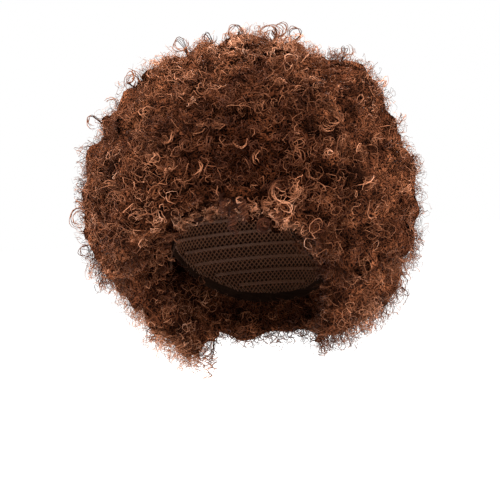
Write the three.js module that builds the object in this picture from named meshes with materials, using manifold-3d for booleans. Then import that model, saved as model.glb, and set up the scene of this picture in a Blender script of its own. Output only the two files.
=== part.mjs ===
// A brown afro wig at its real size, in millimetres, +Z up, with the face opening towards -Y.
// The origin is the point inside the net cap where the crown of the head sits.
// A net cap with an elastic band round its edge carries the hair. The hair is a thick airy ball round
// the cap, made in sections as its rows are sewn on: crown, front, two sides, back, nape and fringe.

import * as THREE from "three";
import { mergeVertices } from "three/addons/utils/BufferGeometryUtils.js";
import Module from "manifold-3d";

// The head that the cap is cut for
const headHalfWidth = 76;
const headHalfLength = 96;
const headHalfHeight = 100;

// The net cap, and the elastic band that goes on from its edge
const capWall = 2;
const capReach = 121; // degrees from the crown down to the net's edge at the nape
const bandWidth = 9;

// The ball of hair, measured over its curls
const hairHalfWidth = 163;
const hairFront = 154;
const hairBack = 162;
const hairRise = 111; // above the crown of the head
const hairDrop = 252; // below the crown of the head, where the ball would close under the neck
const fullestDrop = 58; // crown of the head down to the widest level
const tuftHeight = 3.5; // how far the tufts swell and sink
const tuftsRound = 5; // rows of tufts round the ball, and down it
const tuftsDown = 4;
const swirlsRound = 3; // the slower swells that lean across them
const swirlsDown = 2;

// The curls that stand on the ball
const curlRadius = 18;
const curlThickness = 18;
const curlSpacing = 63;
const curlLean = 50; // degrees that a curl leans from upright
const curlTwist = 2; // radians from one curl's turn to the next one's

// The face opening: an arch that widens forwards
const faceHalfWidth = 66;
const fringeDrop = 62; // crown down to the top of the arch
const chinDrop = 222; // crown down to the foot of the arch
const cheekFlare = 44; // degrees that the sides of the opening turn outwards
const browFlare = 20; // degrees that the top of the opening rises forwards
const templeDepth = 48; // from the middle of the head to where the sides start to turn out
const chinSweep = 8; // how far the foot of the opening lies towards the wearer's left
const earRoom = 7; // how much the hair stands back from the wearer's left ear
const earDrop = 136; // crown down to the middle of that ear's lobe
const earReach = 20;

// The neck, which the hair hangs round
const neckHalfWidth = 50;
const neckHalfLength = 50;
const neckSpread = 0.3; // how much wider it is at the middle of the head, as a share

// Where the sections of hair meet
const crownSpread = 38; // degrees from upright to the edge of the crown's section
const frontTurn = 48; // degrees round from the forehead to where the side sections begin
const backTurn = 128; // degrees round from the forehead to where the back section begins
const napeDrop = 118; // crown down to where the nape's section begins

// The fringe, which lines the top of the arch
const fringeThickness = 16;
const fringeEndDrop = 98; // crown down to its ends at the temples
const fringeRootDepth = 56; // from the middle of the head forwards to its roots
const ringletRadius = 8;
const ringletThickness = 6;
const ringlets = 6;
const ringletSpread = 0.75; // how far out they hang, as a share of faceHalfWidth
const ringletTwist = 0.6; // radians from one ringlet's turn to the next one's
const ringletOffset = 14; // from the forehead out to the middle of a ringlet

const gap = 0.3; // between neighbouring pieces
const beyond = 60; // how far a cutting shape runs past what it cuts
const roundSteps = 24; // faces round the head, the ball and the neck
const ballSteps = 12; // rows of faces from the top of the head or the ball to its foot
const zoneSteps = 6; // rows of faces down the shape that cuts the cap's edge
const neckSteps = 4; // rows of faces down the room for the neck
const archSteps = 5; // rows of faces along the face opening
const curlSteps = 7; // faces round a curl
const curlSides = 4; // faces round the thickness of a curl
const sameCorner = 1e-3; // corners closer than this are one

// The net's edge: degrees round from the forehead, and how far down as a share of capReach
const capEdge = [
  { turn: 0, down: 0.475 }, // forehead
  { turn: 35, down: 0.56 }, // temple
  { turn: 62, down: 0.77 }, // tab in front of the ear
  { turn: 88, down: 0.69 }, // over the ear
  { turn: 115, down: 0.85 }, // behind the ear
  { turn: 150, down: 0.975 },
  { turn: 180, down: 1 }, // nape
];

// The ball's outline: degrees down from its top, and its reach as a share of a true ellipsoid's
const ballOutline = [
  { tilt: 0, reach: 1 },
  { tilt: 25, reach: 0.985 },
  { tilt: 45, reach: 1 },
  { tilt: 60, reach: 1 },
  { tilt: 72, reach: 0.985 },
  { tilt: 88, reach: 1 },
  { tilt: 100, reach: 0.97 },
  { tilt: 112, reach: 1 },
  { tilt: 125, reach: 0.93 },
  { tilt: 138, reach: 0.93 },
  { tilt: 152, reach: 0.94 },
  { tilt: 180, reach: 0.95 },
];

// Half of the face opening: how far down, as a share of the way from fringeDrop to chinDrop, how far
// across, as a share of faceHalfWidth, and how much of chinSweep and of its outward turn it has there
const faceEdge = [
  { down: 0, across: 0, sweep: 0, turned: 0 },
  { down: 0.035, across: 0.4, sweep: 0, turned: 0.05 },
  { down: 0.115, across: 0.7, sweep: 0, turned: 0.25 },
  { down: 0.23, across: 0.9, sweep: 0, turned: 0.7 },
  { down: 0.38, across: 1, sweep: 0, turned: 1 },
  { down: 0.64, across: 0.96, sweep: 0.1, turned: 1 },
  { down: 0.75, across: 0.88, sweep: 0.45, turned: 1 },
  { down: 0.86, across: 0.78, sweep: 0.9, turned: 1 },
  { down: 1, across: 0.72, sweep: 1, turned: 1 },
];

const degree = Math.PI / 180;
const fullTurn = 360;
const goldenTurn = Math.PI * (3 - Math.sqrt(5));
const far = hairHalfWidth + hairFront + hairBack + beyond;
const curlTop = curlRadius * Math.cos(curlLean * degree) + curlThickness / 2;
const zoneDepth = headHalfWidth / 2; // how far inside the cap the shape that cuts its edge starts
const ballMiddle = new THREE.Vector3(0, 0, -fullestDrop);

// The sections round the ball, from one turn to another and from one height to another
const sections = [
  { name: "front_hair", from: -frontTurn, to: frontTurn, low: -fringeEndDrop, high: far },
  { name: "left_hair", from: frontTurn, to: backTurn, low: -far, high: far },
  { name: "back_hair", from: backTurn, to: fullTurn - backTurn, low: -napeDrop, high: far },
  { name: "nape_hair", from: backTurn, to: fullTurn - backTurn, low: -far, high: -napeDrop },
  { name: "right_hair", from: fullTurn - backTurn, to: fullTurn - frontTurn, low: -far, high: far },
];

const wasm = await Module();
wasm.setup();

// A closed three.js geometry as a solid that can be joined and cut
function solid(geometry) {
  const plain = geometry.clone();
  plain.deleteAttribute("normal");
  plain.deleteAttribute("uv");
  const merged = mergeVertices(plain, sameCorner);
  const corners = Array.from(merged.index.array);
  const triangles = [];
  for (let i = 0; i < corners.length; i += 3) {
    const [a, b, c] = corners.slice(i, i + 3);
    if (a !== b && b !== c && c !== a) triangles.push(a, b, c);
  }
  return new wasm.Manifold(
    new wasm.Mesh({
      numProp: 3,
      vertProperties: merged.attributes.position.array,
      triVerts: new Uint32Array(triangles),
    }),
  );
}

// A solid as a named mesh
function meshOf(name, made, material) {
  const { vertProperties, triVerts } = made.getMesh();
  const geometry = new THREE.BufferGeometry();
  geometry.setAttribute("position", new THREE.BufferAttribute(new Float32Array(vertProperties), 3));
  geometry.setIndex(new THREE.BufferAttribute(new Uint32Array(triVerts), 1));
  geometry.computeVertexNormals();
  const mesh = new THREE.Mesh(geometry, material);
  mesh.name = name;
  return mesh;
}

// Moves every vertex of a geometry to where a function sends it
function shaped(geometry, send) {
  const places = geometry.attributes.position;
  const point = new THREE.Vector3();
  for (let i = 0; i < places.count; i += 1) {
    const { x, y, z } = send(point.fromBufferAttribute(places, i));
    places.setXYZ(i, x, y, z);
  }
  return geometry;
}

// Reads one column of a table at a value of another, in a smooth curve through its rows
function readTable(rows, from, column, at) {
  const last = rows.length - 1;
  let row = 0;
  while (row < last - 1 && at > rows[row + 1][from]) row += 1;
  const value = (i) => rows[THREE.MathUtils.clamp(i, 0, last)][column];
  const width = rows[row + 1][from] - rows[row][from];
  const share = THREE.MathUtils.clamp((at - rows[row][from]) / width, 0, 1);
  const slopeHere = (value(row + 1) - value(row - 1)) / 2;
  const slopeNext = (value(row + 2) - value(row)) / 2;
  const squared = share ** 2;
  const cubed = share ** 3;
  return (
    (2 * cubed - 3 * squared + 1) * value(row) +
    (cubed - 2 * squared + share) * slopeHere +
    (3 * squared - 2 * cubed) * value(row + 1) +
    (cubed - squared) * slopeNext
  );
}

// The angle round of a vertex of a lathe or a sphere, 0 at the forehead and positive to the left
function roundOf(vertex) {
  return Math.hypot(vertex.x, vertex.z) < sameCorner ? 0 : Math.atan2(vertex.x, vertex.z);
}

// A point of an ellipsoid like the head's, thicker than it, by its angles round and down
function headPoint(round, tilt, thickness) {
  return new THREE.Vector3(
    (headHalfWidth + thickness) * Math.sin(tilt) * Math.sin(round),
    -(headHalfLength + thickness) * Math.sin(tilt) * Math.cos(round),
    (headHalfHeight + thickness) * Math.cos(tilt) - headHalfHeight,
  );
}

// The angle from the crown down to the net's edge
function edgeTilt(round) {
  const turn = Math.abs(round) / degree;
  return capReach * readTable(capEdge, "turn", "down", turn) * degree;
}

// All of the cap's zone that lies above a line a distance below the net's edge. The lathe's radius
// counts its rows, and its height says the outer or the inner side.
function capZoneGeometry(below) {
  const counts = Array.from({ length: zoneSteps + 1 }, (_, i) => i + 1);
  const inside = counts.map((i) => new THREE.Vector2(i, 0));
  const outside = counts.map((i) => new THREE.Vector2(i, 1)).reverse();
  const loop = [...inside, ...outside, inside[0].clone()];
  return shaped(new THREE.LatheGeometry(loop, roundSteps), (p) => {
    const round = roundOf(p);
    const share = (Math.hypot(p.x, p.z) - 1) / zoneSteps;
    const tilt = share * (edgeTilt(round) + below / headHalfHeight);
    return headPoint(round, tilt, p.y > 0.5 ? beyond : -zoneDepth);
  });
}

// The head's form, thicker by a margin. The cap and the room for it in the hair have the same faces.
function headGeometry(thickness) {
  const sphere = new THREE.SphereGeometry(1, roundSteps, ballSteps);
  return shaped(sphere, (p) =>
    headPoint(roundOf(p), Math.acos(THREE.MathUtils.clamp(p.y, -1, 1)), thickness),
  );
}

// The net and the band, each a stretch of one thin shell over the head
function buildNet(shell) {
  return shell.intersect(solid(capZoneGeometry(0)));
}

function buildBand(shell) {
  return shell
    .intersect(solid(capZoneGeometry(gap + bandWidth)))
    .subtract(solid(capZoneGeometry(gap)));
}

// The room for the neck, from inside the head down past the hair
function neckRoomGeometry() {
  const length = hairDrop + beyond - headHalfHeight;
  const column = new THREE.CylinderGeometry(1, 1, 1, roundSteps, neckSteps);
  return shaped(column, (p) => {
    const up = p.y + 0.5;
    const wide = 1 + neckSpread * up ** 2;
    return new THREE.Vector3(
      neckHalfWidth * wide * p.x,
      -neckHalfLength * wide * p.z,
      up * length - hairDrop - beyond,
    );
  });
}

// A point of the ball that the curls stand on, by its angles round and down
function ballPoint(round, tilt) {
  const length = Math.cos(round) > 0 ? hairFront : hairBack;
  const height = Math.cos(tilt) > 0 ? hairRise + fullestDrop : hairDrop - fullestDrop;
  const rows = Math.sin(tuftsRound * round + 1) * Math.sin(tuftsDown * tilt);
  const tufts = rows + Math.sin(swirlsRound * round - swirlsDown * tilt);
  const swell = tuftHeight * tufts * Math.sin(tilt) ** 2 - curlTop;
  const reach = readTable(ballOutline, "tilt", "reach", tilt / degree);
  return new THREE.Vector3(
    (hairHalfWidth * reach + swell) * Math.sin(tilt) * Math.sin(round),
    -(length * reach + swell) * Math.sin(tilt) * Math.cos(round),
    (height * reach + swell) * Math.cos(tilt) - fullestDrop,
  );
}

function ballGeometry() {
  const sphere = new THREE.SphereGeometry(1, roundSteps, ballSteps);
  return shaped(sphere, (p) =>
    ballPoint(roundOf(p), Math.acos(THREE.MathUtils.clamp(p.y, -1, 1))),
  );
}

// How far down the opening a height is, as a share of its own height
function shareDown(height) {
  return (-height - fringeDrop) / (chinDrop - fringeDrop);
}

// How much wider the opening is at a depth and a height, and how far its top has risen there
function flareAt(forward, height) {
  const pastTemple = Math.max(forward - templeDepth, 0);
  const pastBrow = Math.max(forward - headHalfLength, 0);
  const turned = readTable(faceEdge, "down", "turned", shareDown(height));
  return {
    wider: 1 + (turned * pastTemple * Math.tan(cheekFlare * degree)) / faceHalfWidth,
    rise: pastBrow * Math.tan(browFlare * degree),
  };
}

// The space in front of the face, with a margin round it
function openingGeometry(margin) {
  const side = (sign) =>
    faceEdge.map(({ down, across, sweep }) => {
      const height = margin - fringeDrop - down * (chinDrop - fringeDrop);
      const ear = sign > 0 ? earRoom * Math.exp(-(((height + earDrop) / earReach) ** 2)) : 0;
      const half = across * (faceHalfWidth + margin) + ear;
      return new THREE.Vector2(sign * half + sweep * chinSweep, height);
    });
  const right = side(-1).reverse();
  const left = side(1);
  const lowest = -chinDrop - beyond;
  const arch = new THREE.Shape();
  arch.moveTo(left.at(-1).x, lowest);
  arch.lineTo(right[0].x, lowest);
  arch.lineTo(right[0].x, right[0].y);
  arch.splineThru([...right.slice(1), ...left.slice(1)]);
  arch.closePath();
  const prism = new THREE.ExtrudeGeometry(arch, {
    depth: hairFront + beyond,
    steps: archSteps,
    curveSegments: 1,
    bevelEnabled: false,
  });
  // The extrusion runs up; turned forwards it keeps its faces outwards
  prism.rotateX(Math.PI / 2);
  return shaped(prism, (p) => {
    const flare = flareAt(-p.y, p.z);
    return new THREE.Vector3(p.x * flare.wider, p.y, p.z + flare.rise);
  });
}

// Whether a point of the ball lies in front of the face opening with a margin round it
function facesOpening(point, margin) {
  const flare = flareAt(-point.y, point.z);
  const height = point.z - flare.rise - margin;
  const across = readTable(faceEdge, "down", "across", shareDown(height));
  const inside = Math.abs(point.x) < across * (faceHalfWidth + margin) * flare.wider;
  return point.y < 0 && shareDown(height) > 0 && inside;
}

// A wedge from the ball's axis outwards, kept half a gap back from its seams
function wedgeGeometry(from, to) {
  const [start, middle, end] = [from, (from + to) / 2, to].map((turn) => turn * degree);
  const back = gap / 2 / Math.sin((end - start) / 2);
  const along = (turn, distance) =>
    new THREE.Vector2(Math.sin(turn) * distance, -Math.cos(turn) * distance);
  const shape = new THREE.Shape([along(middle, 0), along(start, far), along(end, far)]);
  const wedge = new THREE.ExtrudeGeometry(shape, { depth: 2 * far, bevelEnabled: false });
  const apex = along(middle, back);
  return wedge.translate(apex.x, apex.y, -far);
}

// All that lies between two heights, in front of a plane across the head
function layerGeometry(low, high, forward) {
  const layer = new THREE.BoxGeometry(2 * far, 2 * far, high - low);
  return layer.translate(0, -forward - far, (low + high) / 2);
}

// The cone that holds the crown's section, with a margin round it
function crownConeGeometry(margin) {
  const radius = far * Math.tan(crownSpread * degree);
  const cone = new THREE.ConeGeometry(radius, far, roundSteps);
  const sink = margin / Math.sin(crownSpread * degree);
  cone.rotateX(-Math.PI / 2);
  return cone.translate(0, 0, far / 2 - fullestDrop - sink);
}

// A ring that stands up along a direction and leans over, with its middle at a point
function ringGeometry(at, out, spin, lean, radius, thickness) {
  const ring = new THREE.TorusGeometry(radius, thickness / 2, curlSides, curlSteps);
  ring.rotateX(Math.PI / 2 + lean);
  ring.rotateZ(spin);
  const upright = new THREE.Vector3(0, 0, 1);
  ring.applyQuaternion(new THREE.Quaternion().setFromUnitVectors(upright, out));
  return ring.translate(at.x, at.y, at.z);
}

// The middles of the curls, spread evenly over the ball
function curlPlaces() {
  const area = 4 * Math.PI * hairHalfWidth * (hairRise + fullestDrop);
  const count = Math.round(area / curlSpacing ** 2);
  return Array.from({ length: count }, (_, i) => {
    const at = ballPoint(i * goldenTurn, Math.acos(1 - (2 * i + 1) / count));
    return { at, out: at.clone().sub(ballMiddle).normalize(), spin: i * curlTwist };
  }).filter(({ at }) => !facesOpening(at, curlThickness / 2) && !hangsByNeck(at));
}

// Whether the hair at a point of the ball is too thin over the neck to hold a curl
function hangsByNeck(point) {
  const width = neckHalfWidth + curlRadius;
  const length = neckHalfLength + curlRadius;
  return Math.hypot(point.x / width, point.y / length) < 1 && point.z < -headHalfHeight;
}

function inFringe({ at }) {
  return facesOpening(at, fringeThickness) && at.z > -fringeEndDrop;
}

function inCrown({ at }) {
  const sideways = Math.hypot(at.x, at.y);
  return Math.atan2(sideways, at.z + fullestDrop) < crownSpread * degree;
}

function inSection({ at }, { from, to, low, high }) {
  const turn = Math.atan2(at.x, -at.y) / degree;
  const round = turn < from ? turn + fullTurn : turn;
  return round >= from && round < to && at.z > low && at.z < high;
}

// Adds curls to the ball, which is then cut down to a section
function withCurls(ball, places) {
  return places.reduce(
    (made, { at, out, spin }) =>
      made.add(
        solid(ringGeometry(at, out, spin, curlLean * degree, curlRadius, curlThickness)),
      ),
    ball,
  );
}

function regionOf({ from, to, low, high }) {
  const layer = layerGeometry(low + gap / 2, high - gap / 2, -far);
  return solid(wedgeGeometry(from, to)).intersect(solid(layer));
}

function fringeRoom(margin) {
  const layer = layerGeometry(-fringeEndDrop - margin, far, fringeRootDepth - margin);
  return solid(openingGeometry(fringeThickness + margin)).intersect(solid(layer));
}

// The small curls that hang from the fringe in front of the forehead
function withRinglets(fringe) {
  return Array.from({ length: ringlets }, (_, i) => {
    const side = ringletSpread * ((2 * i + 1) / ringlets - 1);
    const x = side * faceHalfWidth;
    const down = readTable(faceEdge, "across", "down", Math.abs(side));
    const height = -fringeDrop - down * (chinDrop - fringeDrop);
    const across = x / (headHalfWidth + ringletOffset);
    const up = (height + headHalfHeight) / (headHalfHeight + ringletOffset);
    const forward = (headHalfLength + ringletOffset) * Math.sqrt(1 - across ** 2 - up ** 2);
    const { wider, rise } = flareAt(forward, height);
    const at = new THREE.Vector3(x * wider, -forward, height + rise);
    const out = new THREE.Vector3(-side, 0, -1).normalize();
    return solid(ringGeometry(at, out, i * ringletTwist, 0, ringletRadius, ringletThickness));
  }).reduce((made, ringlet) => made.add(ringlet), fringe);
}

function buildWig() {
  const hairMaterial = new THREE.MeshStandardMaterial({ color: 0x55301f, roughness: 0.62 });
  const netMaterial = new THREE.MeshStandardMaterial({ color: 0x2a1912, roughness: 0.85 });
  const bandMaterial = new THREE.MeshStandardMaterial({ color: 0x1e1410, roughness: 0.75 });

  const ball = solid(ballGeometry());
  const places = curlPlaces();
  const hollow = solid(headGeometry(capWall + gap))
    .add(solid(neckRoomGeometry()))
    .add(solid(openingGeometry(0)));
  const crownCone = solid(crownConeGeometry(0));
  const nearCrown = solid(crownConeGeometry(gap));
  const nearFringe = fringeRoom(gap);

  const wig = new THREE.Group();
  const shell = solid(headGeometry(capWall)).subtract(solid(headGeometry(0)));
  wig.add(meshOf("cap_net", buildNet(shell), netMaterial));
  wig.add(meshOf("edge_band", buildBand(shell), bandMaterial));

  const crown = withCurls(ball, places.filter(inCrown)).intersect(crownCone).subtract(hollow);
  wig.add(meshOf("crown_hair", crown, hairMaterial));

  const belowCrown = places.filter((place) => !inCrown(place) && !inFringe(place));
  sections.forEach((section) => {
    const own = belowCrown.filter((place) => inSection(place, section));
    const made = withCurls(ball, own)
      .intersect(regionOf(section))
      .subtract(nearCrown)
      .subtract(nearFringe)
      .subtract(hollow);
    wig.add(meshOf(section.name, made, hairMaterial));
  });

  const fringe = ball.intersect(fringeRoom(0)).subtract(nearCrown).subtract(hollow);
  wig.add(meshOf("fringe_hair", withRinglets(fringe), hairMaterial));
  return wig;
}

export default buildWig();
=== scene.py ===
# %% [markdown]
# # A brown afro wig
# A wig is a net cap with rows of hair sewn on. This one's hair is crimped tight in small curls, so it
# stands off the cap as one big soft ball with an arch left open at the front.
# The measured model gives the cap and plain solid sections of hair. Here each section gets a dark bed,
# and thousands of single curled strands stand on it, since strands are what the eye reads as hair.

# %% Frame
import math

import bmesh
import bpy
import numpy as np
from mathutils import Matrix, Vector
from mathutils.bvhtree import BVHTree


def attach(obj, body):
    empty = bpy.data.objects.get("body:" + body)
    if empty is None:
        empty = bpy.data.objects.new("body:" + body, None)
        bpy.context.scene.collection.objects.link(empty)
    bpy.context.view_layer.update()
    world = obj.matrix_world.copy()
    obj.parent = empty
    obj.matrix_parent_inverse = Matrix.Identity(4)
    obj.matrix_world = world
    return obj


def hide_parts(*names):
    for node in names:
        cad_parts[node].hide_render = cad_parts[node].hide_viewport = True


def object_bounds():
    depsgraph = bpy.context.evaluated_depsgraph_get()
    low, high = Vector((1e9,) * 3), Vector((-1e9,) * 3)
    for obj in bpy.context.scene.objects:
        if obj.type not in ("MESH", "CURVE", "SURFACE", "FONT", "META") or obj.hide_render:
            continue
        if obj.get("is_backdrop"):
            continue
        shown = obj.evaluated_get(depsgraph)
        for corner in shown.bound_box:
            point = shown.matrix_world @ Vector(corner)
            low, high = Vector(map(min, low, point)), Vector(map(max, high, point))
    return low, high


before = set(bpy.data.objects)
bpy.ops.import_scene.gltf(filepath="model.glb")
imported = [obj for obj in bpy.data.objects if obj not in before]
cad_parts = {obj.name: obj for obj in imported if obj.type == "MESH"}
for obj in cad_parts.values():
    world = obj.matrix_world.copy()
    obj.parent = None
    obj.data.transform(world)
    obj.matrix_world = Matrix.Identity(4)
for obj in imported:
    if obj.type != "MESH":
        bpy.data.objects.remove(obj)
cad_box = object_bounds()
mm = 0.001
print("measured box in metres:", [tuple(round(c, 3) for c in corner) for corner in cad_box])

# %% [markdown]
# ## The ball's form
# The stylist trims an afro to a round outline. It is widest at half its height, a little flatter at
# the back of the crown and drawn in towards the hem. The strands need to know how far out of that
# form any point lies, so the form is kept as a formula with the same sizes as the solids.

# %% Small helpers
def unit(vectors):
    return vectors / np.maximum(np.linalg.norm(vectors, axis=-1, keepdims=True), 1e-9)


def smooth(values):
    values = np.clip(values, 0, 1)
    return values * values * (3 - 2 * values)


# %% The ball under the curls
ball_middle = np.array((0, 0, -58)) * mm
ball_side, ball_front, ball_back, ball_up, ball_down = np.array((163, 154, 162, 169, 194)) * mm
curl_height = 20.6 * mm  # the outermost curls stand this far off the ball
tuft_height = 3.5 * mm
outline_tilt = (0, 25, 45, 60, 72, 88, 100, 112, 125, 138, 152, 180)
outline_reach = (1, 0.985, 1, 1, 0.985, 1, 0.97, 1, 0.93, 0.93, 0.94, 0.95)
print("ball:", round(2000 * ball_side), "mm wide and", round(1000 * (ball_up + ball_down)), "mm high")


def ball_share(points):
    """How far out each point lies, 1 on the ball that the curls stand on, and how far from its middle."""
    x, y, z = (points - ball_middle).T
    length = np.where(y < 0, ball_front, ball_back)
    height = np.where(z > 0, ball_up, ball_down)
    turn = np.arctan2(x / ball_side, -y / length)
    tilt = np.arctan2(np.hypot(x / ball_side, y / length), z / height)
    tufts = np.sin(5 * turn + 1) * np.sin(4 * tilt) + np.sin(3 * turn - 2 * tilt)
    swell = tuft_height * tufts * np.sin(tilt) ** 2 - curl_height
    reach = np.interp(np.degrees(tilt), outline_tilt, outline_reach)
    across = x / (ball_side * reach + swell)
    along = y / (length * reach + swell)
    upward = z / (height * reach + swell)
    return np.sqrt(across**2 + along**2 + upward**2), np.linalg.norm(points - ball_middle, axis=1)


# %% How closely the ball is trimmed
# Seen from the front: degrees round from the top towards +X, and millimetres that the hair is trimmed
# back there, or left longer if negative
trim_turn = (-180, -150, -135, -125, -115, -105, -90, -75, -60, -45, -30, -15, -5, 5, 20, 33, 45,
             55, 65, 80, 95, 105, 115, 130, 145, 160, 180)
trim_back = (7, 9, 12, 12, 7, -1, 0, -3, 7, 10, 9, 12, 15, 10, 8, 10, -6,
             -1, 8, 2, 2, 0, -2, 0, 5, 8, 7)
photo_turn, photo_lift, wig_tip = (math.radians(a) for a in (13, 4, 4.5))  # round, up, wig tipped over


def trimmed(points):
    """How much lower the hair is at each point than an even ball's, in metres."""
    x, y, z = (points - ball_middle).T
    sideways = x * math.cos(photo_turn) + y * math.sin(photo_turn)
    turn = np.degrees(np.arctan2(sideways, z))
    towards_rim = smooth(np.hypot(sideways, z) / np.linalg.norm(points - ball_middle, axis=1) * 1.6 - 0.5)
    return np.interp(turn, trim_turn, trim_back) * towards_rim * mm


print("trimmed back by", min(trim_back), "to", max(trim_back), "mm")

# %% Where the photo looks from
aim = np.array((-2 * math.cos(photo_turn), -2 * math.sin(photo_turn), -103)) * mm
towards_eye = np.array(
    (
        math.sin(photo_turn) * math.cos(photo_lift),
        -math.cos(photo_turn) * math.cos(photo_lift),
        math.sin(photo_lift),
    )
)
level = np.array((math.cos(photo_turn), math.sin(photo_turn), 0))
upright = np.cross(towards_eye, level)
picture_right = level * math.cos(wig_tip) - upright * math.sin(wig_tip)
picture_up = level * math.sin(wig_tip) + upright * math.cos(wig_tip)
eye_distance = 1.6
eye = aim + towards_eye * eye_distance
print("the eye stands in metres at:", eye.round(3))

# %% Soft random swells
def swells(points, size, seed):
    """A smooth random value at each point, mostly from -1 to 1, with bumps about that size apart."""
    rng = np.random.default_rng(seed)
    value = np.zeros(len(points))
    for _ in range(9):
        way = rng.normal(size=3)
        way *= rng.uniform(0.7, 1.4) / np.linalg.norm(way)
        value += np.sin(points @ way * (2 * math.pi / size) + rng.uniform(0, 2 * math.pi))
    return value / 2.4


# %% [markdown]
# ## Materials
# The hair is a heat-set synthetic fibre: each strand is a smooth plastic thread, so it glints, but the
# curls turn every way and break the glints up into copper specks over a dark brown depth. Most of these
# specks are painted highlights and much of the depth is painted shade in the colours below.

# %% Colour and node helpers
def colour(code):
    """A screen colour such as #a0b0c0 as the linear colour that Blender works in."""
    channels = [int(code[i : i + 2], 16) / 255 for i in (1, 3, 5)]
    return [c / 12.92 if c <= 0.04045 else ((c + 0.055) / 1.055) ** 2.4 for c in channels] + [1]


def new_material(name, roughness, seen):
    made = bpy.data.materials.new(name)
    made.use_nodes = True
    made.diffuse_color = colour(seen)
    shader = made.node_tree.nodes["Principled BSDF"]
    shader.inputs["Base Color"].default_value = colour(seen)
    shader.inputs["Roughness"].default_value = roughness
    return made, made.node_tree, shader


def add_node(tree, kind, settings=None, **inputs):
    """One node with its settings, and with each named input linked or set."""
    node = tree.nodes.new(kind)
    for key, value in (settings or {}).items():
        setattr(node, key, value)
    for key, value in inputs.items():
        socket = node.inputs[int(key[1:])] if key[1:].isdigit() else node.inputs[key]
        if isinstance(value, bpy.types.NodeSocket):
            tree.links.new(value, socket)
        else:
            socket.default_value = value
    return node


def add_ramp(tree, factor, stops):
    """A colour ramp through stops of (position, screen colour)."""
    node = add_node(tree, "ShaderNodeValToRGB", _0=factor)
    ramp = node.color_ramp
    while len(ramp.elements) < len(stops):
        ramp.elements.new(1)
    for element, (position, code) in zip(ramp.elements, stops):
        element.position = position
        element.color = colour(code)
    return node.outputs["Color"]


def times(tree, first, second):
    """Two colours multiplied."""
    node = add_node(tree, "ShaderNodeMix", {"data_type": "RGBA", "blend_type": "MULTIPLY"}, _0=1.0)
    tree.links.new(first, node.inputs[6])
    tree.links.new(second, node.inputs[7])
    return node.outputs[2]


# %% Strand material
# Synthetic fibre, spun smooth and heat-set in a curl: a dull brown thread that warms to copper where it
# turns to the light, and darkens towards its root where little light gets in. Both are painted into the
# colour: a painted highlight partway along each strand and painted shade towards its root
strand_map = "OFBake"  # across: the strand's tone from dark to copper; up: from its root to its tip
curled_fibre, tree, shader = new_material("curled_fibre", 0.42, "#5a3322")
on_strand = add_node(tree, "ShaderNodeUVMap", {"uv_map": strand_map})
across_up = add_node(tree, "ShaderNodeSeparateXYZ", _0=on_strand.outputs[0])
tone = add_ramp(
    tree,
    across_up.outputs[0],
    [(0, "#150704"), (0.3, "#3b1f14"), (0.55, "#704630"), (0.8, "#a67256"), (1, "#d8b09a")],
)
# Painted shade at the root and a painted highlight partway along the strand, brightest at 0.64
root_to_tip = [
    (0, "#2a211b"),
    (0.3, "#8f8076"),
    (0.52, "#e4dcd6"),
    (0.64, "#ffffff"),
    (0.76, "#e0d8d0"),
    (1, "#b8aca4"),
]
painted_root_shade_and_highlight = add_ramp(tree, across_up.outputs[1], root_to_tip)
tree.links.new(times(tree, tone, painted_root_shade_and_highlight), shader.inputs["Base Color"])
shader.inputs["Specular IOR Level"].default_value = 0.03
shader.inputs["Specular Tint"].default_value = colour("#e0a888")
print("strand material:", curled_fibre.name, "with", len(tree.nodes), "nodes")

# %% Bed material
# The same fibre deep in the ball, matted and out of the light: its dark colour is painted shade, which gives
# dark depth between the strands.
# Contour lines of a smooth noise run side by side and curl round, as fibres in a clump do. They lie a
# few millimetres apart, far coarser than fibres, because finer ones don't show in the render.
hair_bed, tree, shader = new_material("hair_bed", 0.8, "#22110a")
shader.inputs["Specular IOR Level"].default_value = 0.0
spot = add_node(tree, "ShaderNodeTexCoord").outputs["Object"]
lines = []
for scale, repeats, shift in ((100.0, 9.0, 0.0), (160.0, 6.0, 3.7)):
    moved = add_node(tree, "ShaderNodeVectorMath", {"operation": "ADD"}, _0=spot, _1=(shift, shift, shift))
    hills = add_node(tree, "ShaderNodeTexNoise", Vector=moved.outputs[0], Scale=scale, Detail=1.0)
    level_of = hills.outputs["Fac"]
    steps = add_node(tree, "ShaderNodeMath", {"operation": "MULTIPLY"}, _0=level_of, _1=repeats)
    fold = add_node(tree, "ShaderNodeMath", {"operation": "PINGPONG"}, _0=steps.outputs[0], _1=0.5)
    lines.append(fold.outputs[0])
height = add_node(tree, "ShaderNodeMath", {"operation": "MAXIMUM"}, _0=lines[0], _1=lines[1])
patches = add_node(tree, "ShaderNodeTexNoise", Vector=spot, Scale=45.0, Detail=3.0)
patch = patches.outputs["Fac"]
lit = add_node(tree, "ShaderNodeMath", {"operation": "MULTIPLY"}, _0=height.outputs[0], _1=patch)
# Partly painted light and shade: the raised fibre lines are coloured light, as if lit, and the grooves
# between them dark; the patches are random tone
lines_tone = add_ramp(
    tree, lit.outputs[0], [(0.06, "#0a0403"), (0.15, "#200f08"), (0.24, "#4b2818"), (0.34, "#7d4c32")]
)
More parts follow.
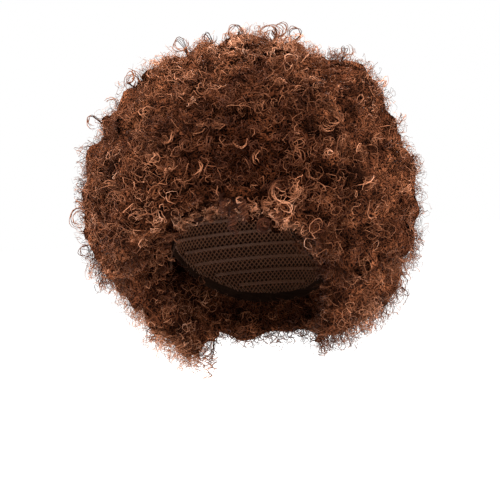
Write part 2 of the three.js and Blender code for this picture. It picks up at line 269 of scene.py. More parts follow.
# Painted shade: hair near the cap and above the front opening is darker, where less light reaches it
near_cap = add_node(
    tree,
    "ShaderNodeMapping",
    {"vector_type": "POINT"},
    Vector=spot,
    Location=(0, 0, 0.41),
    Scale=(7.2, 7.2, 7.1),
)
out_from_cap = add_node(tree, "ShaderNodeVectorMath", {"operation": "LENGTH"}, _0=near_cap.outputs[0])
shade = add_ramp(tree, out_from_cap.outputs["Value"], [(0.72, "#4a403a"), (0.93, "#ffffff")])
darkest_spot = (0.04, -0.15, -0.01)
from_darkest = add_node(tree, "ShaderNodeVectorMath", {"operation": "DISTANCE"}, _0=spot, _1=darkest_spot)
front_shade = add_ramp(
    tree, from_darkest.outputs["Value"], [(0.02, "#90847d"), (0.11, "#dcdcdc"), (0.22, "#ffffff")]
)
shaded = times(tree, lines_tone, shade)
tree.links.new(times(tree, shaded, front_shade), shader.inputs["Base Color"])
bump = add_node(tree, "ShaderNodeBump", Strength=1.0, Distance=0.002, Height=height.outputs[0])
tree.links.new(bump.outputs[0], shader.inputs["Normal"])
print("bed material:", hair_bed.name, "with", len(tree.nodes), "nodes")

# %% [markdown]
# ## The bed of each section
# Under the outermost curls the hair is too dense to see through. A closed bed stands for that depth.
# It is the measured section, remeshed evenly and drawn in, with swells and hollows like the clumps of
# a real afro, so that the strands on it rise and sink and leave dark pockets between them.

# %% Sections and the sizes of their beds
sections = {
    "crown_hair": 1,
    "front_hair": 2,
    "left_hair": 3,
    "back_hair": 4,
    "nape_hair": 5,
    "right_hair": 6,
    "fringe_hair": 7,
}
bed_lift = 10 * mm  # from the ball out to the bed's mean height
bed_relief = ((34, 3.2, 11), (15, 1.6, 12), (8, 0.9, 13))  # size, height, seed of its swells
wall_sink = 3 * mm  # how far the bed is drawn in on the inner side and at the opening
fringe_sink = 1.2  # times as far in the fringe
bed_grain = 4.2 * mm
bed_foot = -172 * mm  # below this level the hair is looser, so its bed ends sooner
print("sections of hair:", ", ".join(sections))


# %% What shows of a section
def tree_of_others(node):
    """A search tree of every measured solid but one."""
    corners, faces = [], []
    for name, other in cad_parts.items():
        if name != node:
            start = len(corners)
            corners += [v.co.copy() for v in other.data.vertices]
            faces += [[start + i for i in polygon.vertices] for polygon in other.data.polygons]
    return BVHTree.FromPolygons(corners, faces)


def covered(tree, points, ways, back, reach):
    """Whether a neighbour lies right behind each point along its way out."""
    found = np.zeros(len(points), bool)
    for i, (point, way) in enumerate(zip(points, ways)):
        hit = tree.ray_cast(Vector(point - way * back), Vector(way), back + reach)
        found[i] = hit[0] is not None
    return found


def read(data, name, width, count):
    values = np.zeros(count * width, np.float32)
    data.foreach_get(name, values)
    return values.reshape(-1, width).astype(float)


def low_at_opening(point):
    """Whether a point lies on the low part of the front opening's edge."""
    return point.z < -110 * mm and point.y < -45 * mm and abs(point.x) < 98 * mm


def low_at_side(point):
    """Whether a point lies low at a side, where the outline turns in."""
    return point.z < -100 * mm and abs(point.x) > 120 * mm


# %% Make a bed
def make_bed(node, seed):
    bed = bpy.data.objects.new(node.replace("hair", "bed"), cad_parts[node].data.copy())
    bpy.context.scene.collection.objects.link(bed)
    bpy.context.view_layer.objects.active = bed
    solid = bmesh.new()
    solid.from_mesh(bed.data)
    bmesh.ops.remove_doubles(solid, verts=solid.verts, dist=1e-6)
    solid.to_mesh(bed.data)
    solid.free()
    bed.data.remesh_voxel_size = bed_grain
    bpy.ops.object.voxel_remesh()
    mesh = bed.data
    count = len(mesh.vertices)
    points = read(mesh.vertices, "co", 3, count)
    normals = read(mesh.vertices, "normal", 3, count)
    share, distance = ball_share(points)
    outer = share > 0.975
    relief = sum(swells(points, wide * mm, chance) * high * mm for wide, high, chance in bed_relief)
    target = 1 + (bed_lift - trimmed(points) + relief) / distance
    ways = points - ball_middle
    moved = ball_middle + ways * (target / share)[:, None]
    sink = wall_sink * (fringe_sink if node == "fringe_hair" else 1)
    inner = ~outer & ~covered(tree_of_others(node), points, normals, 1.5 * mm, 8 * mm)
    sunk = points - normals * (sink + 1.2 * mm * swells(points, 20 * mm, seed))[:, None]
    points[outer] = moved[outer]
    points[inner] = sunk[inner]
    low = points[:, 2] < bed_foot
    # The hair at the front of the -X side hangs lower than the rest
    kept = 0.5 + 0.35 * smooth(-points[low, 0] / (50 * mm)) * smooth(0.5 - points[low, 1] / (40 * mm))
    hem = 3 * mm * swells(points[low], 32 * mm, 21) * smooth((bed_foot - points[low, 2]) / (25 * mm))
    points[low, 2] = bed_foot + (points[low, 2] - bed_foot) * kept + hem
    mesh.vertices.foreach_set("co", points.astype(np.float32).ravel())
    solid = bmesh.new()
    solid.from_mesh(mesh)
    low_rim = [
        v for v in solid.verts if v.co.z < bed_foot or low_at_opening(v.co) or low_at_side(v.co)
    ]
    for verts in [solid.verts] * 2 + [low_rim] * 10:
        bmesh.ops.smooth_vert(
            solid, verts=verts, factor=0.5, use_axis_x=True, use_axis_y=True, use_axis_z=True
        )
    solid.to_mesh(mesh)
    solid.free()
    mesh.materials.clear()
    mesh.materials.append(hair_bed)
    mesh.shade_smooth()
    mesh.update()
    return bed


beds = {node: make_bed(node, seed) for node, seed in sections.items()}
print("bed faces:", {name: len(bed.data.polygons) for name, bed in beds.items()})

# %% [markdown]
# ## Strands
# A factory winds the fibre on thin rods and heats it, so every strand comes off as a spring. Combed
# out, the springs part into ringlets and fine frizz. So a strand here is a spring with a few turns,
# some of them in step with their neighbours as a ringlet and some on their own as frizz.

# %% Build tubes from paths
strand_points = 16
strand_sides = 3
strand_section = np.array(((1, -0.25), (0, 0.45), (-1, -0.25)))  # across and outwards, in radii
tone_width = 0.07  # how much of the tone map one side of a strand takes


def tube_mesh(name, paths, radii, tones, facing):
    """Closed flat strands along paths, with a ridge that faces outwards, as one mesh with the strand map."""
    count, steps = paths.shape[:2]
    ahead = unit(np.gradient(paths, axis=1))
    side = unit(np.cross(ahead, facing[:, None, :] + 1e-5))
    outward = np.cross(side, ahead)
    across, over = strand_section.T
    ring = across[:, None] * side[:, :, None] + over[:, None] * outward[:, :, None]
    corners = paths[:, :, None] + ring * radii[:, :, None, None]

    first = np.arange(count)[:, None, None] * (steps * strand_sides)
    step = np.arange(steps - 1)[None, :, None] * strand_sides
    here = np.arange(strand_sides)[None, None, :]
    after = (here + 1) % strand_sides
    low, low_after = first + step + here, first + step + after
    quads = np.stack([low, low_after, low_after + strand_sides, low + strand_sides], axis=-1)
    bottom = first[:, 0] + np.array((2, 1, 0))
    top = first[:, 0] + (steps - 1) * strand_sides + np.array((0, 1, 2))
    loops = np.concatenate([quads.ravel(), bottom.ravel(), top.ravel()])
    quad_count = quads[..., 0].size
    starts = np.concatenate([np.arange(quad_count) * 4, quad_count * 4 + np.arange(2 * count) * 3])

    up = np.linspace(0.02, 0.98, steps)
    left = np.broadcast_to(tones[:, None, None] + (here - 1.5) * tone_width, quads.shape[:3])
    low_up = np.broadcast_to(up[:-1][None, :, None], quads.shape[:3])
    high_up = np.broadcast_to(up[1:][None, :, None], quads.shape[:3])
    right = left + tone_width
    quad_map = np.stack([left, low_up, right, low_up, right, high_up, left, high_up], axis=-1)
    cap_across = tones[:, None] + np.array((-1, 0, 1)) * tone_width
    cap_maps = [
        np.stack([cap_across, end + np.broadcast_to((0, spread, 0), cap_across.shape)], axis=-1)
        for end, spread in ((0.02, 0.01), (0.98, -0.01))
    ]
    strand_uv = np.concatenate([quad_map.ravel(), cap_maps[0].ravel(), cap_maps[1].ravel()])

    mesh = bpy.data.meshes.new(name)
    mesh.vertices.add(count * steps * strand_sides)
    mesh.vertices.foreach_set("co", corners.astype(np.float32).ravel())
    mesh.loops.add(len(loops))
    mesh.loops.foreach_set("vertex_index", loops.astype(np.int32))
    mesh.polygons.add(len(starts))
    mesh.polygons.foreach_set("loop_start", starts.astype(np.int32))
    mesh.uv_layers.new(name=strand_map)
    mesh.uv_layers[strand_map].data.foreach_set("uv", strand_uv.astype(np.float32))
    mesh.update(calc_edges=True)
    mesh.shade_smooth()
    return mesh


# %% Choose where strands grow
def on_rim(places, normals, outer):
    """Whether each place lies on the low hem or low on the front opening's edge."""
    hem = normals[:, 2] < -0.4
    at_opening = (normals[:, 1] < -0.3) & ~outer
    return (hem | at_opening) & (places[:, 2] < -85 * mm)


def pick_roots(rng, bed, node, wanted):
    """Evenly spread roots on the bed where it shows, with the way out of it and the kind of place."""
    mesh = bed.data
    mesh.calc_loop_triangles()
    count = len(mesh.loop_triangles)
    corners = read(mesh.vertices, "co", 3, len(mesh.vertices))
    triangles = np.zeros(count * 3, np.int32)
    mesh.loop_triangles.foreach_get("vertices", triangles)
    a, b, c = (corners[triangles.reshape(-1, 3)[:, i]] for i in range(3))
    cross = np.cross(b - a, c - a)
    area = np.linalg.norm(cross, axis=1) / 2
    normal = unit(cross)
    middle = (a + b + c) / 3
    share, _ = ball_share(middle)
    outer = share > 1.005
    shows = outer | ~covered(tree_of_others(node), middle, normal, 2 * mm, 14 * mm)
    rim = on_rim(middle, normal, outer)
    weight = area * shows * np.where(outer, 1, 0.7) * np.where(rim, 2.6, 1)
    total = np.cumsum(weight)
    at = (np.arange(wanted) + rng.uniform(0, 1, wanted)) / wanted * total[-1]
    chosen = np.minimum(np.searchsorted(total, at), count - 1)
    first, second = rng.uniform(0, 1, (2, wanted))
    flip = first + second > 1
    first, second = np.where(flip, 1 - first, first), np.where(flip, 1 - second, second)
    roots = a[chosen] + (b - a)[chosen] * first[:, None] + (c - a)[chosen] * second[:, None]
    return roots, normal[chosen], outer[chosen], total[-1]


# %% Curl strands
def turned_frame(axis):
    """Two directions across each axis."""
    helper = np.where(np.abs(axis[:, 2:]) < 0.9, (0, 0, 1.0), (1.0, 0, 0))
    first = unit(np.cross(helper, axis))
    return first, np.cross(axis, first)


def grow(rng, roots, out, outer):
    """Paths, radii and tones for strands at the roots, some gathered into ringlets."""
    # A third of the strands gather round a leader as a ringlet, and the others are frizz
    count = len(roots)
    leader_count = max(count // 7, 1)
    leaders = rng.permutation(count)[:leader_count]
    nearest = np.array([leaders[np.argmin(((roots[leaders] - root) ** 2).sum(axis=1))] for root in roots])
    gathered = rng.uniform(size=count) < 0.35
    gathered[leaders] = True
    lead = np.where(gathered, nearest, np.arange(count))

    # Each axis leans away from the ball, and down at the hem
    radial = unit(roots - ball_middle)
    away = unit(np.where(outer[:, None], radial * 0.7 + out * 0.5, out))
    rim = on_rim(roots, out, outer)
    hem = rim & (out[:, 2] < -0.4)
    away = np.where(hem[:, None], unit(out * 0.5 + np.array((0, 0, -0.8))), away)
    lean = unit(rng.normal(size=(count, 3)))
    axis = unit(away * 0.55 + lean * 0.8 + np.array((0, 0, -0.25)))[lead]
    # Sizes in millimetres, shared in a ringlet; one strand in thirty strays in a wide loop
    radius = rng.uniform(2.8, 6.4, count)[lead] * rng.uniform(0.85, 1.15, count)
    radius = np.where(gathered, radius, rng.uniform(1.5, 5, count))
    stray = rng.uniform(size=count) < 0.035
    stray[leaders] = False
    radius = np.where(stray, rng.uniform(7, 12, count), radius) * mm
    turns = rng.uniform(1.0, 1.95, count)[lead] + rng.uniform(-0.15, 0.15, count)
    turns = np.where(stray, 1.1, turns)
    hand = np.where(rng.uniform(size=count) < 0.5, -1, 1)[lead]
    phase = rng.uniform(0, 2 * math.pi, count)[lead] + rng.normal(size=count) * 0.18
    advance = rng.uniform(3, 11, count)[lead] * mm
    rise = np.where(gathered, rng.uniform(0, 3.6, count)[lead], 7.5 * rng.uniform(size=count) ** 1.7)
    rise = np.where(stray, rng.uniform(2, 5, count), rise) * mm
    rise = np.where(outer, rise, rise * 0.45)
    rise = np.where(rim, rng.uniform(1, np.where(hem, 13, 7), count) * mm, rise)
    advance = np.where(outer, advance, advance * 0.7)
    radius = np.where(outer | rim, radius, radius * 0.8)

    # The spring opens from its root in the bed and advances along its axis
    t = np.linspace(0, 1, strand_points)[None, :, None]
    first, second = turned_frame(axis)
    angle = phase[:, None, None] + (hand * turns * 2 * math.pi)[:, None, None] * t
    opened = smooth(t * 3.5) * (1 - 0.25 * t)
    ring = (np.cos(angle) * first[:, None] + np.sin(angle) * second[:, None]) * opened
    gather = smooth(t * 2.2) * 0.7
    offset = (roots[lead] - roots)[:, None] * gather
    height = (-4 * mm + (rise[:, None, None] + 4 * mm) * smooth(t * 2.4)) * away[:, None]
    paths = roots[:, None] + offset + height + axis[:, None] * advance[:, None, None] * t
    paths = paths + ring * radius[:, None, None]
    # Small waves, so that no strand is an even spring
    for frequency, size in ((1.3, 1.7), (2.9, 1.2), (5.1, 0.5)):
        wave = rng.uniform(0, 2 * math.pi, (count, 1, 3))
        paths = paths + np.sin(2 * math.pi * frequency * t + wave) * size * mm

    thick = np.where(gathered, rng.uniform(0.24, 0.4, count), rng.uniform(0.17, 0.3, count)) * mm
    taper = np.interp(np.linspace(0, 1, strand_points), (0, 0.7, 1), (1, 1, 0.45))
    radii = thick[:, None] * taper[None, :]
    own = rng.normal(size=count)
    shared = rng.normal(size=count)[lead]
    facing = unit(away + 0.35 * lean)
    return paths, radii, own, shared, facing


def strand_tones(roots, tips, own, shared, glint_seed):
    """From dark to copper, with painted shade and light in it: darkest above the opening, lighter towards the
    rim, with chance in it.
    """
    x, y, z = roots.T / mm
    tip_share, tip_distance = ball_share(tips)
    standing = (tip_share - 1) * tip_distance / tip_share + trimmed(tips)
    thin = smooth((standing - 13 * mm) / (12 * mm))
    # Painted light: low at the -X side the strands are lighter, where the lamps reach less
    painted_low_light = smooth((-z - 105) / 50) * smooth((-x - 10) / 50)
    fringe = np.exp(-(((z + 64) / 14) ** 2)) * (y < -60) * (np.abs(x) < 70)
    # Painted light: lighter towards the top, where the lamps above and behind fall
    rim = smooth((z - 30) / 70)
    # Painted shade: darkest above the front opening, which the lamps light least
    painted_front_shade = np.exp(-(((x - 30) / 62) ** 2) - ((z + 10) / 55) ** 2) * (y < 0)
    share, _ = ball_share(roots)
    # Painted shade: darker on the inner side, where the hair round it shades it
    inside = smooth((1 - share) * 6) * (y > -60)
    base = 0.44 + 0.24 * rim - 0.16 * painted_front_shade - 0.17 * inside + 0.32 * painted_low_light + 0.28 * fringe
    # Painted light: strands whose tips stand far out are lighter, as if lit through from behind
    lighter = 0.16 * thin * (1 - painted_front_shade)
    tones = base + lighter + 0.07 * shared + 0.09 * own + 0.05 * swells(roots, 60 * mm, 5)
    # Painted glints: about one strand in twenty-two is made much lighter
    glints = np.random.default_rng(glint_seed).uniform(size=len(roots)) < 0.045
    return np.clip(tones + (0.24 - 0.12 * painted_front_shade) * glints, 0.12, 0.88)


# %% Grow hair on every bed
strand_counts = {
    "crown_hair": 1290,
    "front_hair": 1410,
    "left_hair": 1680,
    "back_hair": 1310,
    "nape_hair": 730,
    "right_hair": 1650,
    "fringe_hair": 440,
}
hair = {}
added = sum(len(bed.data.polygons) * 2 for bed in beds.values())
for node, seed in sections.items():
    rng = np.random.default_rng(100 + seed)
    roots, out, outer, area = pick_roots(rng, beds[node], node, strand_counts[node])
    paths, radii, own, shared, facing = grow(rng, roots, out, outer)
    tones = strand_tones(roots, paths[:, strand_points // 2], own, shared, 30 + seed)
    mesh = tube_mesh(node.replace("hair", "curls"), paths, radii, tones, facing)
    mesh.materials.append(curled_fibre)
    hair[node] = bpy.data.objects.new(mesh.name, mesh)
    bpy.context.scene.collection.objects.link(hair[node])
    mesh.calc_loop_triangles()
    added += len(mesh.loop_triangles)
    print(f"{node}: {len(roots)} strands, one for each {area * 1e6 / len(roots):.0f} square mm")

# %% [markdown]
# ## Curls that catch the eye
# On a worn afro some ringlets spring out of the ball, a few hang over the front edge, and the ends low
# at the -X side have loosened. The eye finds these first, so they are placed one by one: each is a small
# bundle of strands wound round one axis.

# %% Place by where it is seen
bed_trees = []
for bed in beds.values():
    corners = [v.co.copy() for v in bed.data.vertices]
    bed_trees.append(BVHTree.FromPolygons(corners, [list(f.vertices) for f in bed.data.polygons]))


def seen_at(across, up):
    """Where a curl stands that is seen that far right and up of the picture's middle, and its root."""
    for inwards in np.arange(0, 0.5, 0.03):
        moved = picture_right * across * (1 - inwards) + picture_up * (up + (37 - up) * inwards)
        way = unit(aim + moved * mm - eye)
        if inwards == 0:
            straight = way
        hits = [tree.ray_cast(Vector(eye), Vector(way))[3] for tree in bed_trees]
        near = min((hit for hit in hits if hit is not None), default=None)
        if near is not None:
            lift = 6 * mm if inwards == 0 else 0
            return eye + straight * (near - lift), eye + way * (near + 5 * mm)
    return aim, aim


# %% Wind a bundle
def bundle(rng, start, root, axis, radius, turns, length, count, steps, first_angle, spread):
    """Paths of strands wound together from a root in the hair, round an axis from a start."""
    t = np.linspace(0, 1, steps)[None, :, None]
    first, second = (each[0] for each in turned_frame(axis[None]))
    own = rng.normal(size=(count, 4, 1))
    any_angle = rng.uniform(0, 2 * math.pi)
    phase = (any_angle if first_angle is None else math.radians(first_angle)) + 0.16 * own[:, 0:1]
    angle = phase + turns * (1 + 0.05 * own[:, 1:2]) * 2 * math.pi * t
    ring = (np.cos(angle) * first + np.sin(angle) * second) * radius * (1 + 0.12 * spread * own[:, 2:3])
    along = axis * length * (1 + 0.1 * own[:, 3:4]) * t
    shift = rng.normal(size=(count, 1, 3)) * radius * 0.16 * spread
    paths = start + ring + along + shift
    for frequency, size in ((1.7, 0.5), (3.9, 0.3)):
        paths = paths + np.sin(2 * math.pi * frequency * t + rng.uniform(0, 6, (count, 1, 3))) * size * mm
    rooted = smooth(t * 4)
    return root * (1 - rooted) + paths * rooted


# %% Place a bundle
chance = np.random.default_rng(400)
ring_points, ringlet_points = strand_points, 2 * strand_points - 1
placed = {ring_points: [], ringlet_points: []}
palest, darkest = 0.88, 0.11


def place(seen, drop, axis, radius, turns, length, count, tone, thick, first_angle=None, spread=1):
    """One bundle at (right, up) in the picture, its middle a drop below its root, all in millimetres."""
    steps = ringlet_points if turns > 1.5 else ring_points
    start, root = seen_at(*seen)
    start = start - picture_up * drop * mm
    sizes = (radius * mm, turns, length * mm, count, steps, first_angle, spread)
    paths = bundle(chance, start, root, axis, *sizes)
    width = chance.uniform(0.8, 1.2, count) * thick * mm
    radii = width[:, None] * np.interp(np.linspace(0, 1, steps), (0, 0.8, 1), (1, 1, 0.45))
    tones = np.clip(tone + 0.09 * chance.normal(size=count), darkest, palest)
    placed[steps].append((paths, radii, tones, np.broadcast_to(towards_eye, (count, 3))))


# %% Rings and ringlets
# Rings seen face on: right, up, drop, radius, turns, strands, tone
for right, up, drop, radius, turns, count, tone in (
    (-63, 190, 0, 6.3, 1.0, 4, 0.6),
    (-37, 195, 0, 5.5, 0.9, 4, 0.55),
    (-14, 200, 0, 6.0, 0.8, 4, 0.55),
    (18, 198, 0, 8.5, 1.1, 6, 0.62),
    (26, 202, 0, 6.0, 1.2, 6, 0.6),
    (41, 200, 0, 5.0, 1.0, 4, 0.55),
    (90, 183, 0, 4.8, 1.1, 4, 0.5),
    (-113, 159, 0, 6.5, 0.6, 4, 0.6),
    (-107, 155, 0, 6.0, 0.7, 5, 0.6),
    (-127, 135, 0, 5.5, 0.5, 3, 0.55),
    (-143, 119, 0, 5.5, 0.6, 4, 0.5),
    (-156, 30, 0, 8.0, 0.7, 5, 0.55),
    (-153, 0, 0, 5.0, 1.1, 3, 0.5),
    (143, -4, 0, 6.0, 0.8, 5, 0.6),
    (141, -17, 0, 5.0, 0.7, 5, 0.55),
    (135, -29, 0, 6.0, 0.8, 5, 0.6),
    (127, -43, 0, 5.0, 0.9, 4, 0.55),
    (31, 51, 0, 11.0, 0.5, 6, 0.3),
    (-77, 106, 0, 6.5, 0.5, 5, 0.62),
    (74, 119, 0, 7.5, 0.5, 5, 0.64),
    (9, 86, 0, 6.5, 0.45, 4, 0.58),
    (-52, 76, 0, 7.0, 0.45, 4, 0.6),
    (-48, 34, 3, 4.0, 1.3, 8, 0.22),
    (12, 40, 15, 5.4, 1.45, 14, 0.22),
    (13, 38, 13, 3.4, 0.5, 4, 0.5),
    (37, 20, 5, 4.6, 1.1, 3, 0.35),
):
    axis = unit(towards_eye + 0.25 * chance.normal(size=3))
    place((right, up), drop, axis, radius, turns, 2, count, tone, 0.4 if tone < 0.3 else 0.3)
# Ringlets that hang: right, up, radius, turns, length, strands, tone
for right, up, radius, turns, length, count, tone in (
    (-24, 53, 3.2, 2.6, 20, 9, 0.26),
    (-16, 50, 3.6, 2.9, 31, 10, 0.24),
    (-9, 51, 3.0, 2.6, 22, 8, 0.28),
    (-3, 44, 2.8, 2.0, 13, 7, 0.34),
    (25, 38, 3.2, 2.0, 15, 8, 0.4),
    (-62, 26, 2.6, 1.8, 9, 6, 0.4),
    (-36, 38, 2.8, 1.8, 11, 7, 0.42),
    (46, 12, 3.0, 1.8, 12, 6, 0.4),
):
    axis = unit(-picture_up + 0.12 * chance.normal(size=3))
    place((right, up), 0, axis, radius, turns, length, count, tone, 0.36)

print("rings and ringlets placed:", sum(len(bundles) for bundles in placed.values()))

# %% Loose ends along the hem, soft short ends along the front edge, and painted glints
# The loose ends are pale, partly painted light, as they stand at the edge against the bright surround
for share in np.linspace(0, 1, 80):
    seen = (-92 + 58 * share + chance.uniform(-4, 4), -70 - 22 * share + chance.uniform(-6, 4))
    length = (12 + 20 * share) * chance.uniform(0.3, 1)
    axis = unit(-picture_up + 0.16 * chance.normal(size=3))
    place(seen, 0, axis, chance.uniform(1.8, 3.8), 1.6 + length / 14, length, 1, 0.66, 0.28)
for share in np.linspace(0, 1, 60):
    seen = (-30 + 92 * share, -72 - 5 * math.sin(3 * share) + chance.uniform(-4, 4))
    axis = unit(-picture_up + 0.4 * chance.normal(size=3))
    place(seen, 0, axis, chance.uniform(2, 4.5), 1.4, chance.uniform(5, 14), 1, 0.38, 0.28)
front_edge = np.array(
    (
        (-76, -50), (-79, -30), (-80, -6), (-78, 8), (-66, 18), (-56, 26), (-44, 32), (-32, 38), (-16, 40),
        (4, 38), (24, 28), (40, 18), (52, 4), (62, -8), (70, -24), (71, -48), (66, -70), (66, -86),
    )
)
for share in np.linspace(0, len(front_edge) - 1, 130):
    right, up = (np.interp(share, range(len(front_edge)), front_edge[:, i]) for i in (0, 1))
    axis = unit(-picture_up + 0.5 * chance.normal(size=3))
    if -68 < right < 48:
        seen = (right + chance.uniform(-3, 3), up + chance.uniform(2, 9))
        place(seen, 0, axis, chance.uniform(1.2, 3), 1.3, chance.uniform(3, 9), 3, 0.7, 0.2)
    else:
        seen = (right + chance.uniform(-4, 4), up + chance.uniform(-4, 4))
        place(seen, 0, axis, chance.uniform(2, 4.5), 1.3, chance.uniform(2, 9), 3, 0.44, 0.26)
# Painted glints, light strands along one side of a curl: right, up, radius, turns, first angle in degrees,
# strands, tone, spread
for right, up, radius, turns, first_angle, count, tone, spread in (
    (31, 55, 10.0, 0.6, 104, 4, 0.7, 0.35),
    (-9, 101, 6.2, 0.6, 130, 4, 0.62, 0.4),
):
    axis = unit(towards_eye + 0.1 * chance.normal(size=3))
    place((right, up), 0, axis, radius, turns, 1, count, tone, 0.32, first_angle, spread)

standout = []
for name, steps in (("standout_curls", ring_points), ("hanging_ringlets", ringlet_points)):
    mesh = tube_mesh(name, *(np.concatenate(parts) for parts in zip(*placed[steps])))
    mesh.materials.append(curled_fibre)
    standout.append(bpy.data.objects.new(name, mesh))
    bpy.context.scene.collection.objects.link(standout[-1])
    mesh.calc_loop_triangles()
    added += len(mesh.loop_triangles)
print("triangles in beds and strands:", added)

# %% [markdown]
# ## The cap
# The net is knitted from dark thread, thin enough to breathe, and its edge is a woven elastic that
# keeps it in place. Both are matt, so a pattern with a slight bump is enough for what shows of them.

# %% Lengths along the cap
cap_half = np.array((76, 96, 100)) * mm
around_radius = 0.086  # of the cap's mean girth
down_radius = 0.098  # of its arch from top to edge


def angles_on_cap(tree):
    """The turn and tilt of a point of the cap's form, each as a length along it."""
    spot = add_node(tree, "ShaderNodeTexCoord").outputs["Object"]
    parts = add_node(tree, "ShaderNodeSeparateXYZ", _0=spot)
    forward = add_node(tree, "ShaderNodeMath", {"operation": "MULTIPLY"}, _0=parts.outputs[1], _1=-0.79)
    turn = add_node(
        tree, "ShaderNodeMath", {"operation": "ARCTAN2"}, _0=parts.outputs[0], _1=forward.outputs[0]
    )
    upward = add_node(
        tree, "ShaderNodeMath", {"operation": "MULTIPLY_ADD"}, _0=parts.outputs[2], _1=9.8, _2=0.98
    )
    tilt = add_node(tree, "ShaderNodeMath", {"operation": "ARCCOSINE"}, _0=upward.outputs[0])
    around = add_node(tree, "ShaderNodeMath", {"operation": "MULTIPLY"}, _0=turn.outputs[0], _1=around_radius)
    down = add_node(tree, "ShaderNodeMath", {"operation": "MULTIPLY"}, _0=tilt.outputs[0], _1=down_radius)
    return around.outputs[0], down.outputs[0]


def folded(tree, value, cell):
    """0 to 1 and back over each cell."""
    steps = add_node(tree, "ShaderNodeMath", {"operation": "DIVIDE"}, _0=value, _1=cell)
    return add_node(tree, "ShaderNodeMath", {"operation": "PINGPONG"}, _0=steps.outputs[0], _1=1.0).outputs[0]


# %% Net material
# Polyamide thread knitted in slanting cells: matt brown crossings with dark holes between them
net_cell = 2.6 * mm
knitted_net, tree, shader = new_material("knitted_net", 0.9, "#2a1912")
shader.inputs["Specular IOR Level"].default_value = 0
around, down = angles_on_cap(tree)
rising = add_node(tree, "ShaderNodeMath", {"operation": "ADD"}, _0=around, _1=down)
falling = add_node(tree, "ShaderNodeMath", {"operation": "SUBTRACT"}, _0=around, _1=down)
one_way = folded(tree, rising.outputs[0], net_cell)
other_way = folded(tree, falling.outputs[0], net_cell)
thread = add_node(tree, "ShaderNodeMath", {"operation": "MAXIMUM"}, _0=one_way, _1=other_way)
tree.links.new(
    add_ramp(tree, thread.outputs[0], [(0.5, "#0c0604"), (0.72, "#3c261b"), (1, "#5a3c2c")]),
    shader.inputs["Base Color"],
)
bump = add_node(tree, "ShaderNodeBump", Strength=0.8, Distance=0.0008, Height=thread.outputs[0])
tree.links.new(bump.outputs[0], shader.inputs["Normal"])

# %% Elastic material
# Covered rubber threads in a plain weave: a dark matt band with small soft steps. The weave is drawn at
# 0.9 by 0.7 mm, since finer threads don't show
weave_around, weave_down = 0.9 * mm, 0.7 * mm
woven_elastic, tree, shader = new_material("woven_elastic", 0.9, "#1e1410")
shader.inputs["Specular IOR Level"].default_value = 0
around, down = angles_on_cap(tree)
warp = folded(tree, around, weave_around)
weft = folded(tree, down, weave_down)
weave = add_node(tree, "ShaderNodeMath", {"operation": "MULTIPLY"}, _0=warp, _1=weft)
tree.links.new(
    add_ramp(tree, weave.outputs[0], [(0, "#0c0705"), (0.5, "#231610"), (1, "#3a281e")]),
    shader.inputs["Base Color"],
)
bump = add_node(tree, "ShaderNodeBump", Strength=0.6, Distance=0.0004, Height=weave.outputs[0])
tree.links.new(bump.outputs[0], shader.inputs["Normal"])

for node, made in (("cap_net", knitted_net), ("edge_band", woven_elastic)):
    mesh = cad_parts[node].data
    mesh.materials.clear()
    mesh.materials.append(made)
    print(node, "is", made.name)

# %% [markdown]
# ## Rows of hair sewn on the net
# The hair comes from the factory as wefts: long strips of hair stitched along one edge. Each weft is
# sewn round the cap, row under row, and its stitched edge and the thread show on the inside.

# %% Thread material
# Polyester sewing thread, two plies twisted: a slanting stripe with a slight gloss
thread_ply = 0.8 * mm
sewn_thread, tree, shader = new_material("sewn_thread", 0.6, "#4a2f22")
shader.inputs["Specular IOR Level"].default_value = 0.2
around, down = angles_on_cap(tree)
twist = add_node(tree, "ShaderNodeMath", {"operation": "ADD"}, _0=around, _1=down)
ply = folded(tree, twist.outputs[0], thread_ply)
tree.links.new(add_ramp(tree, ply, [(0, "#24150e"), (1, "#6a4632")]), shader.inputs["Base Color"])
bump = add_node(tree, "ShaderNodeBump", Strength=0.7, Distance=0.0004, Height=ply)
tree.links.new(bump.outputs[0], shader.inputs["Normal"])

# %% Where the rows run
edge_turn = (0, 35, 62, 88, 115, 150, 180)
edge_down = np.array((0.475, 0.56, 0.77, 0.69, 0.85, 0.975, 1)) * 121
row_spacing = 7.5  # degrees down the head from one row to the next
row_step = 3.5 * mm
stitch_reach = 1.7 * mm
cap_middle = np.array((0, 0, -100)) * mm
cap_corners, cap_faces = [], []
for node in ("cap_net", "edge_band"):
    start = len(cap_corners)
    cap_corners += [v.co.copy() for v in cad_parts[node].data.vertices]
    cap_faces += [[start + i for i in f.vertices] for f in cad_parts[node].data.polygons]
cap_tree = BVHTree.FromPolygons(cap_corners, cap_faces)
print("cap faces that the rows are laid on:", len(cap_faces))


def on_cap(turns, tilts, inwards):
    """Points that far in from the cap's inner side, by their angles round and down in degrees."""
    turns, tilts = np.radians(turns), np.radians(tilts)
    sideways = np.sin(tilts) * np.sin(turns)
    forward = -np.sin(tilts) * np.cos(turns)
    ways = cap_half * np.stack([sideways, forward, np.cos(tilts)], axis=-1)
    points = []
    for way in unit(ways):
        hit = cap_tree.ray_cast(Vector(cap_middle), Vector(way))
        distance = hit[3] if hit[0] is not None else np.linalg.norm(ways[0])
        points.append(cap_middle + way * (distance - inwards))
    return np.array(points)


def zigzag(turns, tilts):
    """Thread that crosses a row to and fro."""
    side = np.where(np.arange(len(turns)) % 2 == 0, 1, -1)
    return on_cap(turns, tilts + side * np.degrees(stitch_reach / down_radius), 0.9 * mm)


def row_turns(tilt):
    """Evenly stepped turns of one row, only where it lies above the net's edge."""
    length = 2 * math.pi * around_radius * math.sin(math.radians(tilt))
    turns = np.linspace(-180, 180, max(int(length / row_step), 12))
    return turns[np.interp(np.abs(turns), edge_turn, edge_down) > tilt + 3]


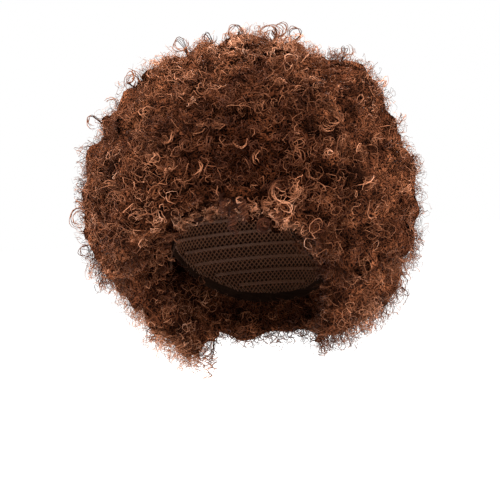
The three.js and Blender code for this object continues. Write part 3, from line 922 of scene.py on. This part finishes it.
def add_runs(paths, turns, points):
    """Cuts a row into runs where it is broken by the cap's edge."""
    if len(turns) < 4:
        return
    breaks = np.where(np.diff(turns) > 1.5 * np.min(np.diff(turns)))[0] + 1
    paths += [run for run in np.split(points, breaks) if len(run) > 3]


# %% Rows and stitches as closed strips
def flat_tube(path, half_width, half_thickness, outward):
    """A closed four-sided strip along one path."""
    ahead = unit(np.gradient(path, axis=0))
    side = unit(np.cross(ahead, outward))
    over = np.cross(side, ahead)
    wide, thick = side * half_width, over * half_thickness
    ring = np.stack([wide + thick, wide - thick, -wide - thick, -wide + thick], axis=1)
    corners = (path[:, None] + ring).reshape(-1, 3)
    faces = []
    for i in range(len(path) - 1):
        for k in range(4):
            a, b = i * 4 + k, i * 4 + (k + 1) % 4
            faces.append((a, a + 4, b + 4, b))
    last = (len(path) - 1) * 4
    faces.append((0, 1, 2, 3))
    faces.append((last + 3, last + 2, last + 1, last))
    return corners, faces


rows, threads = [], []
for tilt in np.arange(10, 121, row_spacing):
    turns = row_turns(tilt)
    add_runs(rows, turns, on_cap(turns, np.full(len(turns), tilt), 0.4 * mm))
    add_runs(threads, turns, zigzag(turns, np.full(len(turns), tilt)))
seam_turns = np.linspace(-180, 180, 260)
seam_tilts = np.interp(np.abs(seam_turns), edge_turn, edge_down)
threads.append(zigzag(seam_turns, seam_tilts))

pieces = bmesh.new()
for paths, half_width, half_thickness in ((rows, 1.2 * mm, 0.45 * mm), (threads, 0.35 * mm, 0.3 * mm)):
    for path in paths:
        corners, faces = flat_tube(path, half_width, half_thickness, unit(path - cap_middle))
        made = [pieces.verts.new(corner) for corner in corners]
        for face in faces:
            pieces.faces.new([made[i] for i in face])
bmesh.ops.recalc_face_normals(pieces, faces=pieces.faces)
mesh = bpy.data.meshes.new("weft_rows")
pieces.to_mesh(mesh)
pieces.free()
mesh.materials.append(sewn_thread)
wefts = bpy.data.objects.new("weft_rows", mesh)
bpy.context.scene.collection.objects.link(wefts)
mesh.calc_loop_triangles()
added += len(mesh.loop_triangles)
print("weft rows:", len(rows), "runs; triangles added in all:", added)

# %% [markdown]
# ## What each piece stands for
# A bed takes the place of its measured section, and the curls and the rows are added to it. The net and
# the band stay as measured.

# %% Hand the pieces to the frame
for curls in standout:
    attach(curls, "root")
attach(wefts, "root")
for node in sections:
    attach(beds[node], "root")
    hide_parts(node)
    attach(hair[node], "root")
print("pieces handed in:", len(standout) + 1 + 2 * len(sections))

# %% [markdown]
# ## Studio
# A pale floor far below, a white surround and four soft lights, as in a catalogue shot.

# %% Floor, lights and camera
bpy.ops.mesh.primitive_plane_add(size=16, location=(0, 0, -0.6))
floor = bpy.context.object
floor.name = "floor"
pale, tree, shader = new_material("pale_floor", 0.9, "#ededed")
shader.inputs["Specular IOR Level"].default_value = 0
# A little glow makes up for what the floor absorbs, so that it meets the surround without a line
shader.inputs["Emission Color"].default_value = (1, 1, 1, 1)
shader.inputs["Emission Strength"].default_value = 1 - colour("#ededed")[0]
floor.data.materials.append(pale)
floor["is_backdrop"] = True

scene = bpy.context.scene
scene.view_settings.view_transform = "Standard"
world = bpy.data.worlds.new("white_surround")
world.use_nodes = True
world.node_tree.nodes["Background"].inputs["Color"].default_value = (1, 1, 1, 1)
world.node_tree.nodes["Background"].inputs["Strength"].default_value = 1.0
scene.world = world

target = Vector((0, 0, -0.06))
for name, spot, size, power in (
    ("top", (-0.2, -0.5, 1.8), 0.8, 135),
    ("left", (-1.8, -0.1, 0.6), 0.8, 100),
    ("right", (1.8, -0.1, 0.6), 0.8, 100),
    ("back", (0.2, 1.6, 1.2), 1.0, 50),
):
    light = bpy.data.objects.new(name, bpy.data.lights.new(name, "AREA"))
    light.data.size = size
    light.data.energy = power
    light.location = spot
    light.rotation_euler = (target - light.location).to_track_quat("-Z", "Y").to_euler()
    scene.collection.objects.link(light)

camera = bpy.data.objects.new("camera", bpy.data.cameras.new("camera"))
scene.collection.objects.link(camera)
scene.camera = camera
camera.data.sensor_width = 36
camera.data.lens = 125.2
camera.location = eye
camera.rotation_euler = Matrix((picture_right, picture_up, towards_eye)).transposed().to_euler()
print("camera turned by degrees:", [round(math.degrees(a), 1) for a in camera.rotation_euler])

# %% Finish
size = {"cad": [list(c) for c in cad_box], "visual": [list(c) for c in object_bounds()]}
